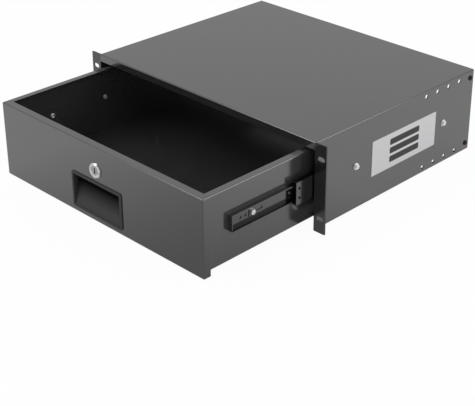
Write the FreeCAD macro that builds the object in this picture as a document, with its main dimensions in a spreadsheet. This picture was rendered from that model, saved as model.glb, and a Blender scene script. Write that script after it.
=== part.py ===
"""Lockable 3U sliding drawer for a 19-inch rack, drawn open, in millimetres.

X runs across the rack, Y runs from the front to the rear and Z is up. The origin is the
centre of the rack slot pattern, on the front face of the ears.
"""
import FreeCAD
import Part

import math
import os
import re

import Sketcher

Vector = FreeCAD.Vector

doc = FreeCAD.newDocument("SlidingRackDrawer")

# ---------------------------------------------------------------- driving dimensions
SIZES = (
    # rack ears
    ("rack_width", 482.6, "over both ears"),
    ("ear_reach", 18.3, "ear beyond the case's side"),
    ("ear_sheet", 2.0, "thickness of an ear"),
    ("slot_inset", 8.75, "slot centre to the ear's outer edge"),
    ("slot_end", 21.55, "slot centre to the end of an ear"),
    ("slot_length", 12.0, "rack slot, end to end"),
    ("slot_width", 7.0, "rack slot"),
    # case
    ("case_height", 132.0, "three rack units less clearance"),
    ("case_depth", 355.0, "from the ears' front face"),
    ("case_sheet", 1.5, "thickness of the case sheet"),
    ("fold_radius", 2.0, "outer radius of a fold"),
    ("foot_flange", 9.0, "inward fold along the bottom of each side"),
    ("foot_setback", 30.0, "front edge back to where the bottom folds start"),
    ("lip_height", 11.5, "front fold of the top"),
    ("lip_return", 18.0, "depth of the lip's return, which the cam catches"),
    ("side_hole", 6.5, "diameter of the holes near the rear"),
    ("side_hole_pitch", 26.7, "between those holes"),
    ("side_hole_rear", 36.0, "last hole to the rear edge"),
    ("side_hole_edge", 9.0, "row to the top or bottom face"),
    ("rail_height", 20.0, "rear rail"),
    ("rail_depth", 14.0, "rear rail"),
    ("rail_gap", 0.5, "rail to the foot flange or top"),
    ("rail_hole", 4.0, "rail screw shank"),
    # slides
    ("slide_space", 12.7, "side space of one slide"),
    ("slide_half", 22.5, "half the height of the cabinet member"),
    ("slide_length", 300.0, "cabinet member"),
    ("slide_setback", 43.0, "front end of a closed slide behind the ears"),
    ("slide_drop", 48.75, "panel's top edge to the slide's centre line"),
    ("slide_sheet", 1.1, "thickness of a member"),
    ("cage_sheet", 0.4, "thickness of a ball cage's web"),
    ("cage_flange", 0.7, "thickness of a ball cage's flanges"),
    ("slide_gap", 0.25, "clearance between webs"),
    ("ball_radius", 2.0, "ball"),
    ("race_gap", 0.3, "clearance round a ball"),
    ("ball_pitch", 18.0, "between balls"),
    ("outer_cage_length", 110.0, "cage between cabinet and middle members"),
    ("outer_cage_start", 125.0, "its front end when closed"),
    ("inner_cage_length", 100.0, "cage between middle and drawer members"),
    ("inner_cage_start", 150.0, "its front end when closed"),
    ("middle_start", 62.0, "front end of a closed middle member"),
    ("bumper_length", 6.0, "rear bumper"),
    ("bumper_gap", 0.5, "members to the bumper when closed"),
    ("screw_hole", 4.0, "slide screw shank"),
    ("case_screw_front", 41.0, "front case screw behind the slide's end"),
    ("case_screw_pitch", 200.0, "to the rear case screw"),
    ("tray_screw_front", 41.0, "first drawer screw behind the slide's end"),
    ("tray_screw_pitch", 100.0, "between drawer screws"),
    ("spare_pitch", 10.0, "step between a drawer member's free holes"),
    # drawer
    ("drawer_open", 190.0, "how far the drawer stands out as drawn"),
    ("panel_gap", 4.75, "front panel to the case lip"),
    ("panel_height", 114.5, "front panel"),
    ("panel_return", 11.5, "depth of the front panel's folds"),
    ("panel_sheet", 1.5, "thickness of the front panel"),
    ("tray_height", 105.0, "tray"),
    ("tray_sheet", 1.2, "thickness of the tray"),
    ("tray_rim", 10.5, "inward fold along the top of a side"),
    ("tray_rear_gap", 4.0, "closed tray to the rear rails"),
    # pull
    ("pull_width", 105.0, "over the rim"),
    ("pull_height", 55.0, "over the rim"),
    ("pull_proud", 1.6, "rim thickness in front of the panel"),
    ("pull_drop", 51.5, "panel's top edge to the pull's"),
    ("pull_rim", 4.0, "width of the rim"),
    ("pull_depth", 10.8, "cup behind the panel's face"),
    ("pull_wall", 1.6, "cup wall"),
    ("pull_fit", 0.2, "cup to its cut-out"),
    ("pull_ramp", 36.0, "height of the sloping floor"),
    ("pull_radius", 4.0, "corners of the rim"),
    # lock
    ("lock_drop", 35.0, "panel's top edge to the lock's axis"),
    ("bezel_radius", 11.25, "lock bezel"),
    ("bezel_proud", 2.6, "lock bezel"),
    ("barrel_radius", 9.4, "threaded barrel"),
    ("barrel_length", 19.6, "behind the panel's face"),
    ("plug_radius", 6.4, "key plug"),
    ("plug_gap", 0.05, "plug to barrel"),
    ("nut_thickness", 5.0, "lock nut"),
    ("cam_thickness", 2.4, "cam"),
    ("cam_reach", 45.5, "lock axis to the cam's tip"),
    ("cam_width", 15.0, "cam"),
    # plate on the right side
    ("plate_length", 146.0, "along the case"),
    ("plate_height", 54.0, "plate"),
    ("plate_sheet", 0.6, "plate"),
    ("plate_front", 118.0, "front edge behind the ears"),
    ("plate_drop", 2.0, "plate's centre below the slide's centre line"),
    # keys
    ("key_head", 24.0, "length and width of a key's head"),
    ("key_head_thick", 5.0, "key's head"),
    ("key_blade_length", 27.0, "blade outside the head"),
    ("key_blade_width", 7.0, "blade"),
    ("key_blade_thick", 2.0, "blade"),
    ("ring_radius", 12.0, "key ring, to the middle of the wire"),
    ("ring_wire", 0.8, "radius of the ring's wire"),
)

# Sizes that follow from the ones above, as formulas in the same words.
DERIVED = {
    "case_width": "rack_width - 2 * ear_reach",
    "case_inner": "case_width / 2 - case_sheet",
    "case_top": "case_height / 2",
    "side_hole_z": "case_height / 2 - side_hole_edge",
    "rail_top": "case_height / 2 - case_sheet - rail_gap",
    "rail_front": "case_depth - rail_depth",
    "panel_half": "case_width / 2 - case_sheet - slide_space",
    "panel_top": "case_height / 2 - lip_height - panel_gap",
    "panel_bottom": "panel_top - panel_height",
    "panel_face": "0 - drawer_open",
    "tray_front": "panel_return - drawer_open",
    "tray_length": "case_depth - rail_depth - tray_rear_gap - panel_return",
    "tray_bottom": "panel_top - tray_height",
    "slide_z": "panel_top - slide_drop",
    "slide_rear": "slide_setback + slide_length",
    "race": "ball_radius + race_gap",
    "curl": "race + slide_sheet",
    "race_lean": "race * cos(45)",
    "curl_lean": "curl * cos(45)",
    "outer_cage_web": "slide_space - slide_sheet - slide_gap - cage_sheet",
    "middle_web": "outer_cage_web - slide_gap - slide_sheet",
    "inner_cage_web": "middle_web - slide_gap - cage_sheet",
    "ball_out": "inner_cage_web - slide_gap - curl",
    "outer_ball_up": "slide_half - curl",
    "middle_half": "outer_ball_up - race",
    "inner_ball_up": "middle_half - curl",
    "drawer_half": "inner_ball_up - race",
    "middle_front": "middle_start - drawer_open / 2",
    "middle_length": "slide_rear - bumper_length - bumper_gap - middle_start",
    "outer_cage_front": "outer_cage_start - drawer_open / 4",
    "inner_cage_front": "inner_cage_start - drawer_open * 3 / 4",
    "member_front": "slide_setback - drawer_open",
    "member_length": "slide_length - bumper_length - bumper_gap",
    "lock_z": "panel_top - lock_drop",
    "pull_top": "panel_top - pull_drop",
    "pull_mid": "panel_top - pull_drop - pull_height / 2",
    "cut_half_x": "pull_width / 2 - pull_rim + pull_wall + pull_fit",
    "cut_half_z": "pull_height / 2 - pull_rim + pull_wall + pull_fit",
    "cam_front": "barrel_length + 0.3 - drawer_open",
    "floor": "tray_bottom + tray_sheet",
}

sizes = doc.addObject("Spreadsheet::Sheet", "Sizes")
for row, (alias, value, note) in enumerate(SIZES, start=1):
    sizes.set(f"A{row}", str(value))
    sizes.setAlias(f"A{row}", alias)
    sizes.set(f"B{row}", note)
doc.recompute()

NAMES = {alias for alias, value, note in SIZES}


def bind(formula):
    """Spell a formula out as an expression on the sheet's cells."""

    def spell(match):
        word = match.group(0)
        if word in NAMES:
            return f"Sizes.{word}"
        return f"({bind(DERIVED[word])})" if word in DERIVED else word

    return re.sub(r"[a-z][a-z_]*", spell, str(formula))


def value_of(formula):
    """The number that a formula gives with the sheet as it stands."""
    return float(sizes.evalExpression(bind(formula)))


# ---------------------------------------------------------------- modelling helpers
def new_body(label):
    """An empty body that will be exported under this label."""
    body = doc.addObject("PartDesign::Body", label)
    body.Label = label
    return body


def new_sketch(body, plane, offset="0"):
    """A sketch on one of the body's origin planes, moved along its normal.

    On XY the axes are X and Y. On XZ they are X and Z with the normal towards -Y.
    On YZ they are Y and Z with the normal towards +X.
    """
    sketch = body.newObject("Sketcher::SketchObject", f"{body.Label}_sketch")
    origin = [part for part in body.Origin.OriginFeatures if part.Role == f"{plane}_Plane"]
    sketch.AttachmentSupport = [(origin[0], "")]
    sketch.MapMode = "FlatFace"
    sketch.setExpression("AttachmentOffset.Base.z", bind(offset))
    return sketch


def fix_point(sketch, geometry, vertex, across, up):
    """Tie one point of the sketch to two formulas."""
    for kind, formula in (("DistanceX", across), ("DistanceY", up)):
        limit = Sketcher.Constraint(kind, -1, 1, geometry, vertex, value_of(formula))
        index = sketch.addConstraint(limit)
        sketch.setExpression(f"Constraints[{index}]", bind(formula))


def add_loop(sketch, corners):
    """A closed loop through corners given as formulas.

    A corner is (across, up) where a straight edge leaves it, or
    (across, up, centre across, centre up, turn) where an arc leaves it, with turn +1 for
    an arc that runs anticlockwise and -1 for one that runs clockwise.
    """
    edges = []
    for index, corner in enumerate(corners):
        following = corners[(index + 1) % len(corners)]
        start = Vector(value_of(corner[0]), value_of(corner[1]), 0)
        end = Vector(value_of(following[0]), value_of(following[1]), 0)
        if len(corner) == 2:
            edges.append((sketch.addGeometry(Part.LineSegment(start, end)), 1, 2))
            continue
        centre = Vector(value_of(corner[2]), value_of(corner[3]), 0)
        turn = corner[4]
        first, last = (start, end) if turn > 0 else (end, start)
        low = math.atan2(first.y - centre.y, first.x - centre.x)
        high = math.atan2(last.y - centre.y, last.x - centre.x)
        if high <= low:
            high += 2 * math.pi
        circle = Part.Circle(centre, Vector(0, 0, 1), (first - centre).Length)
        arc = sketch.addGeometry(Part.ArcOfCircle(circle, low, high))
        edges.append((arc, 1, 2) if turn > 0 else (arc, 2, 1))
        index_x = sketch.addConstraint(
            Sketcher.Constraint("DistanceX", -1, 1, arc, 3, centre.x))
        sketch.setExpression(f"Constraints[{index_x}]", bind(corner[2]))
    for index, (edge, first, last) in enumerate(edges):
        following = edges[(index + 1) % len(edges)]
        sketch.addConstraint(
            Sketcher.Constraint("Coincident", edge, last, following[0], following[1]))
        fix_point(sketch, edge, first, corners[index][0], corners[index][1])


def add_circle(sketch, across, up, radius):
    """A full circle with its centre and radius given as formulas."""
    centre = Vector(value_of(across), value_of(up), 0)
    circle = sketch.addGeometry(Part.Circle(centre, Vector(0, 0, 1), value_of(radius)))
    fix_point(sketch, circle, 3, across, up)
    index = sketch.addConstraint(Sketcher.Constraint("Radius", circle, value_of(radius)))
    sketch.setExpression(f"Constraints[{index}]", bind(radius))


def add_slot(sketch, across, up, length, width):
    """A slot with round ends, lying along the sketch's first axis."""
    half = f"(({length}) - ({width})) / 2"
    left, right = f"({across}) - {half}", f"({across}) + {half}"
    low, high = f"({up}) - ({width}) / 2", f"({up}) + ({width}) / 2"
    add_loop(sketch, [(left, low), (right, low, right, up, 1),
                      (right, high), (left, high, left, up, 1)])


def box_corners(left, low, right, high):
    """The four corners of an upright rectangle."""
    return [(left, low), (right, low), (right, high), (left, high)]


def rounded_corners(left, low, right, high, radius):
    """A rectangle with round corners, as a loop."""
    inner_left, inner_right = f"({left}) + {radius}", f"({right}) - {radius}"
    inner_low, inner_high = f"({low}) + {radius}", f"({high}) - {radius}"
    return [
        (inner_left, low), (inner_right, low, inner_right, inner_low, 1),
        (right, inner_low), (right, inner_high, inner_right, inner_high, 1),
        (inner_right, high), (inner_left, high, inner_left, inner_high, 1),
        (left, inner_high), (left, inner_low, inner_left, inner_low, 1),
    ]


def pad(body, sketch, length, reverse=False, middle=False):
    """Add the sketch's outline pushed out by a length."""
    feature = body.newObject("PartDesign::Pad", f"{body.Label}_pad")
    feature.Profile = sketch
    feature.setExpression("Length", bind(length))
    feature.Reversed = reverse
    feature.Midplane = middle
    return settle(body, feature)


def pocket(body, sketch, length=None, reverse=False, middle=False):
    """Cut the sketch's outline, through everything unless a length is given."""
    before = body.Shape.Volume
    feature = body.newObject("PartDesign::Pocket", f"{body.Label}_pocket")
    feature.Profile = sketch
    feature.Reversed = reverse
    feature.Midplane = middle
    if length is None:
        feature.Type = "ThroughAll"
        feature.Midplane = True
    else:
        feature.setExpression("Length", bind(length))
    settle(body, feature)
    if body.Shape.Volume > before - 1e-6:
        raise RuntimeError(f"{feature.Label} cut nothing")
    return feature


def settle(body, feature):
    """Recompute and stop if the feature didn't build."""
    doc.recompute()
    if "Invalid" in feature.State or "Error" in feature.State or feature.Shape.isNull():
        raise RuntimeError(f"{feature.Label} failed: {feature.State}")
    body.Tip = feature
    return feature


def edge_names(shape, chosen):
    """Names of the straight edges whose two ends satisfy a test."""
    return [
        f"Edge{number}" for number, edge in enumerate(shape.Edges, start=1)
        if len(edge.Vertexes) == 2 and chosen(edge.Vertexes[0].Point, edge.Vertexes[1].Point)
    ]


def round_edges(body, chosen, radius):
    """Fillet the edges whose ends satisfy a test."""
    names = edge_names(body.Shape, chosen)
    if not names:
        raise RuntimeError(f"{body.Label} has no such edges to round")
    base = body.Tip
    feature = body.newObject("PartDesign::Fillet", f"{body.Label}_fold")
    feature.Base = (base, names)
    feature.setExpression("Radius", bind(radius))
    return settle(body, feature)


def near(value, formula):
    """Whether a coordinate sits at a formula's value."""
    return abs(value - value_of(formula)) < 1e-4


def group(label, members):
    """Several like solids in one node."""
    feature = doc.addObject("Part::Feature", label)
    feature.Label = label
    feature.Shape = Part.makeCompound(members)
    return feature


# ---------------------------------------------------------------- case
def build_case_shell():
    """Top and sides folded from one sheet, open below, behind and in front.

    The top's front edge folds down as a lip, with a return that the lock's cam catches.
    """
    body = new_body("case_shell")
    half, inner = "case_width / 2", "case_inner"
    top, foot = "case_top", "0 - case_height / 2"
    flange = "case_width / 2 - foot_flange"
    fold = new_sketch(body, "XZ", "0 - ear_sheet")
    add_loop(fold, [
        (f"0 - ({flange})", foot), (f"0 - {half}", foot), (f"0 - {half}", top), (half, top),
        (half, foot), (flange, foot), (flange, f"{foot} + case_sheet"),
        (inner, f"{foot} + case_sheet"), (inner, f"{top} - case_sheet"),
        (f"0 - ({inner})", f"{top} - case_sheet"), (f"0 - ({inner})", f"{foot} + case_sheet"),
        (f"0 - ({flange})", f"{foot} + case_sheet"),
    ])
    pad(body, fold, "case_depth - ear_sheet", reverse=True)
    outer_x, outer_z = value_of(half), value_of(top)
    round_edges(body, lambda a, b: abs(a.y - b.y) > 1 and abs(abs(a.x) - outer_x) < 1e-4
                and abs(abs(a.z) - outer_z) < 1e-4, "fold_radius")
    relief = new_sketch(body, "XY", foot)
    add_loop(relief, box_corners(f"0 - ({inner})", "0", inner, "foot_setback"))
    pocket(body, relief, "case_sheet", reverse=True)
    # The lip and its return run between the ears.
    lip = new_sketch(body, "YZ", "0")
    lip_low = "case_top - lip_height"
    add_loop(lip, [
        ("0", lip_low), ("lip_return", lip_low), ("lip_return", f"{lip_low} + case_sheet"),
        ("case_sheet", f"{lip_low} + case_sheet"), ("case_sheet", "case_top - case_sheet"),
        ("ear_sheet + 1", "case_top - case_sheet"), ("ear_sheet + 1", "case_top"),
        ("fold_radius", "case_top", "fold_radius", "case_top - fold_radius", 1),
        ("0", "case_top - fold_radius"),
    ])
    pad(body, lip, "case_inner * 2", middle=True)
    # Holes for the cabinet members' screws, for the rails' screws and along the rear.
    holes = new_sketch(body, "YZ", "0")
    for index in range(2):
        add_circle(holes, f"slide_setback + case_screw_front + {index} * case_screw_pitch",
                   "slide_z", "screw_hole / 2 + 0.1")
    for sign in ("", "0 - "):
        add_circle(holes, "case_depth - rail_depth / 2 - case_sheet / 2",
                   f"{sign}(rail_top - rail_height / 2)", "rail_hole / 2 + 0.1")
        for index in range(4):
            add_circle(holes, f"case_depth - side_hole_rear - {index} * side_hole_pitch",
                       f"{sign}(side_hole_z)", "side_hole / 2")
    pocket(body, holes)
    return body


def build_ear(label, side):
    """Rack ear welded across the front edge of a side, with two slots."""
    body = new_body(label)
    inner, outer = "case_inner", "rack_width / 2"
    if side > 0:
        left, right = inner, outer
    else:
        left, right = f"0 - ({outer})", f"0 - ({inner})"
    face = new_sketch(body, "XZ", "0")
    add_loop(face, rounded_corners(left, "0 - case_height / 2", right, "case_height / 2", "1"))
    pad(body, face, "ear_sheet", reverse=True)
    slots = new_sketch(body, "XZ", "0")
    for sign in ("", "0 - "):
        add_slot(slots, f"{side} * (rack_width / 2 - slot_inset)",
                 f"{sign}(case_height / 2 - slot_end)", "slot_length", "slot_width")
    pocket(body, slots)
    return body


def build_rear_rail(label, sign):
    """Rear rail: a web with a flange and two end tabs, which ties the sides together."""
    body = new_body(label)
    inner = "case_inner"
    outer_z = f"{sign} * (rail_top)"
    inner_z = f"{sign} * (rail_top - rail_height)"
    low, high = (inner_z, outer_z) if sign > 0 else (outer_z, inner_z)
    web = new_sketch(body, "XZ", "0 - case_depth")
    add_loop(web, box_corners(f"0 - ({inner})", low, inner, high))
    pad(body, web, "case_sheet")
    flange_z = f"{outer_z} - {sign} * case_sheet"
    f_low, f_high = (flange_z, outer_z) if sign > 0 else (outer_z, flange_z)
    flange = new_sketch(body, "XZ", "0 - case_depth")
    add_loop(flange, box_corners(f"0 - ({inner})", f_low, inner, f_high))
    pad(body, flange, "rail_depth")
    for side in (-1, 1):
        tab = new_sketch(body, "XZ", "0 - case_depth")
        ends = (f"{side} * ({inner})", f"{side} * ({inner} - case_sheet)")
        left, right = ends if side < 0 else ends[::-1]
        add_loop(tab, box_corners(left, low, right, high))
        pad(body, tab, "rail_depth")
    hole = new_sketch(body, "YZ", "0")
    add_circle(hole, "case_depth - rail_depth / 2 - case_sheet / 2",
               f"{sign} * (rail_top - rail_height / 2)", "rail_hole / 2 + 0.1")
    pocket(body, hole)
    return body


def pan_screw(tip, direction, shank_radius, length, head_radius, head_height):
    """Pan-head screw: the shank runs from under the head, at tip, against direction."""
    shank = Part.makeCylinder(shank_radius, length, tip, -direction)
    head = Part.makeCylinder(head_radius, head_height, tip, direction)
    crown = [edge for edge in head.Edges
             if (edge.BoundBox.Center - tip).dot(direction) > head_height - 1e-6]
    head = head.makeChamfer(head_height * 0.4, crown)
    return shank.fuse(head).removeSplitter()


def build_rail_screws():
    """Black pan-head screws through the sides into the rear rails."""
    outer = value_of("case_width / 2")
    depth = value_of("case_depth - rail_depth / 2 - case_sheet / 2")
    height = value_of("rail_top - rail_height / 2")
    shank = value_of("rail_hole / 2")
    length = value_of("case_sheet * 2") + shank
    members = []
    for side in (-1, 1):
        for sign in (-1, 1):
            tip = Vector(side * outer, depth, sign * height)
            members.append(pan_screw(tip, Vector(side, 0, 0), shank, length,
                                     shank * 2, shank * 1.1))
    return group("rear_rail_screws", members)


def build_number_plate():
    """Bare brushed plate on the right side."""
    body = new_body("side_plate")
    face = new_sketch(body, "YZ", "case_width / 2")
    middle = "slide_z - plate_drop"
    add_loop(face, rounded_corners("plate_front", f"{middle} - plate_height / 2",
                                   "plate_front + plate_length",
                                   f"{middle} + plate_height / 2", "1.5"))
    pad(body, face, "plate_sheet")
    return body


# ---------------------------------------------------------------- ball slides
def across(side, outward):
    """X of a point that stands off the drawer's side by a formula."""
    return f"{side} * (panel_half + ({outward}))"


def mirror_turn(side, corners):
    """The same loop for the right side, or mirrored for the left."""
    loop = []
    for corner in corners:
        point = [across(side, corner[0]), corner[1]]
        if len(corner) == 5:
            point += [across(side, corner[2]), corner[3], corner[4] * side]
        loop.append(tuple(point))
    return loop


def curled_channel(web_in, web_out, half, ball_up):
    """Section of a channel whose flanges curl round the ball rows, open to the drawer.

    half is half its height and ball_up the height of the ball rows from the middle.
    """
    z = "slide_z"
    return [
        (web_out, f"{z} - ({half})"), (web_out, f"{z} + {half}"),
        ("ball_out", f"{z} + {half}", "ball_out", f"{z} + {ball_up}", 1),
        ("ball_out - (curl)", f"{z} + {ball_up}"),
        ("ball_out - (race)", f"{z} + {ball_up}", "ball_out", f"{z} + {ball_up}", -1),
        ("ball_out", f"{z} + {half} - slide_sheet"),
        (web_in, f"{z} + {half} - slide_sheet"),
        (web_in, f"{z} - ({half}) + slide_sheet"),
        ("ball_out", f"{z} - ({half}) + slide_sheet", "ball_out", f"{z} - ({ball_up})", -1),
        ("ball_out - (race)", f"{z} - ({ball_up})"),
        ("ball_out - (curl)", f"{z} - ({ball_up})", "ball_out", f"{z} - ({ball_up})", 1),
        ("ball_out", f"{z} - ({half})"),
    ]


def drawer_channel():
    """Section of the drawer member, open to the case, with flanges curled outwards."""
    z, rows, half = "slide_z", "inner_ball_up", "drawer_half"
    return [
        ("0", f"{z} + {half}"), ("0", f"{z} - ({half})"),
        ("ball_out", f"{z} - ({half})", "ball_out", f"{z} - ({rows})", -1),
        ("ball_out + race_lean", f"{z} - ({rows}) + race_lean"),
        ("ball_out + curl_lean", f"{z} - ({rows}) + curl_lean",
         "ball_out", f"{z} - ({rows})", 1),
        ("ball_out", f"{z} - ({half}) + slide_sheet"),
        ("slide_sheet", f"{z} - ({half}) + slide_sheet"),
        ("slide_sheet", f"{z} + {half} - slide_sheet"),
        ("ball_out", f"{z} + {half} - slide_sheet", "ball_out", f"{z} + {rows}", 1),
        ("ball_out + curl_lean", f"{z} + {rows} - curl_lean"),
        ("ball_out + race_lean", f"{z} + {rows} - race_lean",
         "ball_out", f"{z} + {rows}", -1),
        ("ball_out", f"{z} + {half}"),
    ]


def build_channel(label, side, section, front, length):
    """A member of the slide: its section run from front to rear."""
    body = new_body(label)
    sketch = new_sketch(body, "XZ", f"0 - ({front})")
    add_loop(sketch, mirror_turn(side, section))
    pad(body, sketch, length, reverse=True)
    return body


def build_cabinet_member(label, side):
    """Fixed member, screwed to the case."""
    section = curled_channel("slide_space - slide_sheet", "slide_space",
                             "slide_half", "outer_ball_up")
    body = build_channel(label, side, section, "slide_setback", "slide_length")
    holes = new_sketch(body, "YZ", "0")
    for index in range(2):
        add_circle(holes, f"slide_setback + case_screw_front + {index} * case_screw_pitch",
                   "slide_z", "screw_hole / 2 + 0.1")
    pocket(body, holes)
    # The webs are countersunk, so that the screws' heads lie flush.
    names = [f"Edge{number}" for number, edge in enumerate(body.Shape.Edges, start=1)
             if isinstance(edge.Curve, Part.Circle)
             and abs(edge.Curve.Radius - value_of("screw_hole / 2 + 0.1")) < 1e-6
             and near(abs(edge.Curve.Center.x), "panel_half + slide_space - slide_sheet")]
    base = body.Tip
    sink = body.newObject("PartDesign::Chamfer", f"{label}_sink")
    sink.Base = (base, names)
    sink.setExpression("Size", bind("slide_sheet * 0.95"))
    settle(body, sink)
    return body


def build_middle_member(label, side):
    """Middle member, which travels half as far as the drawer."""
    section = curled_channel("middle_web", "middle_web + slide_sheet",
                             "middle_half", "inner_ball_up")
    body = build_channel(label, side, section, "middle_front", "middle_length")
    holes = new_sketch(body, "YZ", "0")
    for share in ("0.3", "0.7"):
        add_slot(holes, f"middle_front + middle_length * {share}", "slide_z",
                 "spare_pitch * 1.8", "spare_pitch * 0.9")
    for sign in ("+", "-"):
        add_circle(holes, "middle_front + spare_pitch * 0.6",
                   f"slide_z {sign} spare_pitch * 0.7", "screw_hole / 2")
    pocket(body, holes)
    return body


def build_drawer_member(label, side):
    """Drawer member, screwed to the tray, with a bent tab at its front end."""
    body = build_channel(label, side, drawer_channel(), "member_front", "member_length")
    # The tab closes the front end between the flanges.
    tab = new_sketch(body, "XZ", "0 - (member_front)")
    low, high = "slide_z - (drawer_half)", "slide_z + drawer_half"
    ends = (across(side, "0"), across(side, "ball_out + curl_lean"))
    left, right = ends if side > 0 else ends[::-1]
    add_loop(tab, rounded_corners(left, low, right, high, "2.5"))
    pad(body, tab, "slide_sheet")
    holes = new_sketch(body, "YZ", "0")
    start = "member_front + tray_screw_front"
    for index in range(3):
        add_circle(holes, f"{start} + {index} * tray_screw_pitch", "slide_z",
                   "screw_hole / 2 + 0.1")
    # Free holes and slots that let the slide be fitted to other drawers.
    for back in (2.1, 1.25):
        add_circle(holes, f"{start} - {back} * spare_pitch", "slide_z", "screw_hole / 2 + 0.2")
    add_loop(holes, box_corners(f"{start} - spare_pitch * 0.75", "slide_z - spare_pitch * 0.45",
                                f"{start} - spare_pitch * 0.5", "slide_z + spare_pitch * 0.45"))
    add_slot(holes, f"{start} + spare_pitch * 1.3", "slide_z", "screw_hole * 3",
             "screw_hole + 0.4")
    pocket(body, holes)
    return body


def cage_section(web, ball_up):
    """Section of a ball cage: a thin web with a flange over each row of balls."""
    z = "slide_z"
    edge = "ball_out - ball_radius * 0.6"
    low = f"{ball_up} + slide_gap"
    high = f"{ball_up} + slide_gap + cage_flange"
    back = f"{web} + cage_sheet"
    return [
        (back, f"{z} - ({high})"), (back, f"{z} + {high}"), (edge, f"{z} + {high}"),
        (edge, f"{z} + {low}"), (web, f"{z} + {low}"), (web, f"{z} - ({low})"),
        (edge, f"{z} - ({low})"), (edge, f"{z} - ({high})"),
    ]


def ball_places(front, length):
    """Distances along Y of the balls in a cage, centred on its length."""
    start, run, pitch = value_of(front), value_of(length), value_of("ball_pitch")
    count = max(1, int((run - 4 * value_of("ball_radius")) // pitch) + 1)
    first = start + (run - (count - 1) * pitch) / 2
    return [first + index * pitch for index in range(count)]


def build_cage(label, side, web, ball_up, front, length):
    """Ball cage with a seat cut for every ball."""
    body = build_channel(label, side, cage_section(web, ball_up), front, length)
    seats = new_sketch(body, "XY", "0")
    start = ball_places(front, length)
    first = f"{front} + {start[0] - value_of(front)}"
    for index in range(len(start)):
        seat = f"{first} + {index} * ball_pitch"
        ends = (across(side, "ball_out - ball_radius"), across(side, "ball_out + ball_radius"))
        left, right = ends if side > 0 else ends[::-1]
        add_loop(seats, box_corners(left, f"{seat} - ball_radius - 0.05", right,
                                    f"{seat} + ball_radius + 0.05"))
    pocket(body, seats)
    return body


def build_balls(label, side, ball_up, front, length):
    """The steel balls of one cage, in an upper and a lower row."""
    x = value_of(across(side, "ball_out"))
    members = []
    for sign in (-1, 1):
        z = value_of(f"slide_z + {sign} * ({ball_up})")
        for y in ball_places(front, length):
            members.append(faceted_ball(Vector(x, y, z), value_of("ball_radius")))
    return group(label, members)


def faceted_ball(centre, radius):
    """Ball with few faces: a cube cut back evenly, so that its corners lie on the sphere."""
    side = radius * 2 / math.sqrt(1 + 2 * (math.sqrt(2) - 1) ** 2)
    cube = Part.makeBox(side, side, side, centre - Vector(side, side, side) / 2)
    return cube.makeChamfer(side / (2 + math.sqrt(2)), cube.Edges)


def build_bumper(label, side):
    """Plastic bumper in the rear end of the cabinet member, which stops the slide."""
    body = new_body(label)
    ends = (across(side, "ball_out"), across(side, "slide_space - slide_sheet"))
    left, right = ends if side > 0 else ends[::-1]
    face = new_sketch(body, "XZ", "bumper_length - (slide_rear)")
    reach = "slide_half - curl - 0.5"
    add_loop(face, rounded_corners(left, f"slide_z - ({reach})", right,
                                   f"slide_z + {reach}", "1.5"))
    pad(body, face, "bumper_length", reverse=True)
    return body


def hex_nut(centre, direction, across_flats, thickness, bore):
    """Hexagon nut standing on centre, along direction."""
    radius = across_flats / math.sqrt(3)
    corners = []
    for step in range(7):
        angle = math.radians(60 * step)
        corners.append(Vector(0, radius * math.cos(angle), radius * math.sin(angle)))
    prism = Part.Face(Part.makePolygon(corners)).extrude(Vector(thickness, 0, 0))
    prism = prism.cut(Part.makeCylinder(bore, thickness, Vector(), Vector(1, 0, 0)))
    prism.Placement = FreeCAD.Placement(
        centre, FreeCAD.Rotation(Vector(1, 0, 0), direction))
    return prism


def build_case_fixings():
    """Countersunk screws through the cabinet members, with flange nuts outside the case."""
    shank, sheet = value_of("screw_hole / 2"), value_of("slide_sheet")
    wall, outer = value_of("case_sheet"), value_of("case_width / 2")
    nut_height = shank * 1.6
    sink = sheet * 0.95
    screws, nuts = [], []
    for side in (-1, 1):
        direction = Vector(side, 0, 0)
        for index in range(2):
            y = value_of(f"slide_setback + case_screw_front + {index} * case_screw_pitch")
            head = Vector(side * (outer - wall - sheet), y, value_of("slide_z"))
            cone = Part.makeCone(shank + sink, shank, sink, head, direction)
            length = sheet + wall + nut_height + shank * 0.4
            screws.append(cone.fuse(Part.makeCylinder(shank, length, head, direction)))
            base = Vector(side * outer, y, value_of("slide_z"))
            flange = Part.makeCylinder(shank * 2.5, shank * 0.4, base, direction)
            flange = flange.cut(Part.makeCylinder(shank, shank * 0.4, base, direction))
            nut = hex_nut(base + direction * shank * 0.4, direction, shank * 3.5,
                          nut_height - shank * 0.4, shank)
            nuts.append(flange.fuse(nut))
    return [group("case_slide_screws", screws), group("case_slide_nuts", nuts)]


def build_tray_fixings():
    """Pan-head screws inside the tray, with nuts in the channel of the drawer members."""
    shank, sheet = value_of("screw_hole / 2"), value_of("slide_sheet")
    wall, half = value_of("tray_sheet"), value_of("panel_half")
    nut_height = shank * 1.5
    screws, nuts = [], []
    for side in (-1, 1):
        direction = Vector(side, 0, 0)
        for index in range(3):
            y = value_of(f"member_front + tray_screw_front + {index} * tray_screw_pitch")
            tip = Vector(side * (half - wall), y, value_of("slide_z"))
            length = wall + sheet + nut_height + shank * 0.3
            screws.append(pan_screw(tip, -direction, shank, length, shank * 1.9, shank))
            base = Vector(side * (half + sheet), y, value_of("slide_z"))
            nuts.append(hex_nut(base, direction, shank * 3.5, nut_height, shank))
    return [group("drawer_slide_screws", screws), group("drawer_slide_nuts", nuts)]


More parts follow.
